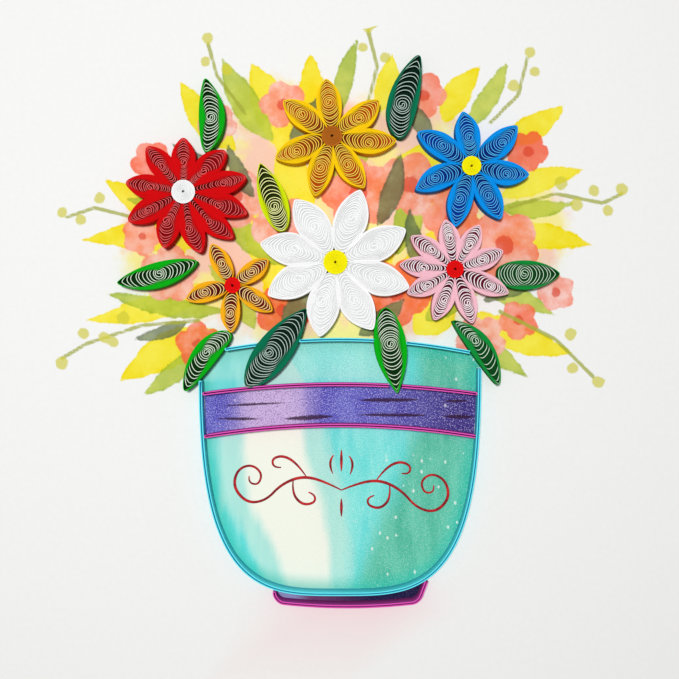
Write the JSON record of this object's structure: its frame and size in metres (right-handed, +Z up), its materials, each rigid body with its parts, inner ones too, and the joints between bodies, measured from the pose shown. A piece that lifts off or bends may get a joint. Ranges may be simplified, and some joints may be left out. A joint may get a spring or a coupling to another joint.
{
  "type": "quilled greeting card",
  "caption": "Folded paper card with raised quilled paper flowers and leaves over a bowl outlined in strips, on a printed front.",
  "frame": {"origin": "centre of the card's underside, where it lies on a table", "axes": "+X to the right of the picture and away from the card's fold, +Y to the picture's top, +Z up out of the front"},
  "size_m": [0.15, 0.15, 0.0042],
  "materials": {
    "card_paper": "matte, finely textured, printed",
    "red_paper": "matte",
    "amber_paper": "matte",
    "blue_paper": "matte",
    "white_paper": "matte",
    "pink_paper": "matte",
    "orange_paper": "matte",
    "green_paper": "matte",
    "dark_green_paper": "matte",
    "lime_paper": "matte",
    "brown_paper": "matte",
    "yellow_paper": "matte",
    "crimson_paper": "matte",
    "cyan_paper": "matte",
    "magenta_paper": "matte"
  },
  "bodies": {
    "root": {"amber_flower_centre": "brown_paper", "amber_petal_1": "amber_paper", "amber_petal_2": "amber_paper", "amber_petal_3": "amber_paper", "amber_petal_4": "amber_paper", "amber_petal_5": "amber_paper", "amber_petal_6": "amber_paper", "amber_petal_7": "amber_paper", "band_strip_lower": "magenta_paper", "band_strips_upper": "magenta_paper", "blue_flower_centre": "yellow_paper", "blue_petal_1": "blue_paper", "blue_petal_2": "blue_paper", "blue_petal_3": "blue_paper", "blue_petal_4": "blue_paper", "blue_petal_5": "blue_paper", "blue_petal_6": "blue_paper", "blue_petal_7": "blue_paper", "bowl_strip": "cyan_paper", "card": "card_paper", "foot_strip": "magenta_paper", "leaf_far_left": "green_paper", "leaf_far_right": "green_paper", "leaf_lime": "lime_paper", "leaf_rim_dark": "dark_green_paper", "leaf_rim_left": "green_paper", "leaf_rim_middle": "green_paper", "leaf_rim_right": "green_paper", "leaf_upper_left": "green_paper", "leaf_upper_right": "dark_green_paper", "orange_flower_centre": "crimson_paper", "orange_petal_1": "orange_paper", "orange_petal_2": "orange_paper", "orange_petal_3": "orange_paper", "orange_petal_4": "orange_paper", "orange_petal_5": "orange_paper", "pink_flower_centre": "crimson_paper", "pink_petal_1": "pink_paper", "pink_petal_2": "pink_paper", "pink_petal_3": "pink_paper", "pink_petal_4": "pink_paper", "pink_petal_5": "pink_paper", "pink_petal_6": "pink_paper", "pink_petal_7": "pink_paper", "pink_petal_8": "pink_paper", "pink_petal_9": "pink_paper", "red_flower_centre": "white_paper", "red_petals": "red_paper", "rim_strip_left": "cyan_paper", "rim_strip_middle": "cyan_paper", "rim_strip_right": "cyan_paper", "white_flower_centre": "yellow_paper", "white_petal_1": "white_paper", "white_petal_2": "white_paper", "white_petal_3": "white_paper", "white_petal_4": "white_paper", "white_petal_5": "white_paper", "white_petal_6": "white_paper", "white_petal_7": "white_paper", "white_petal_8": "white_paper"}
  },
  "joints": []
}
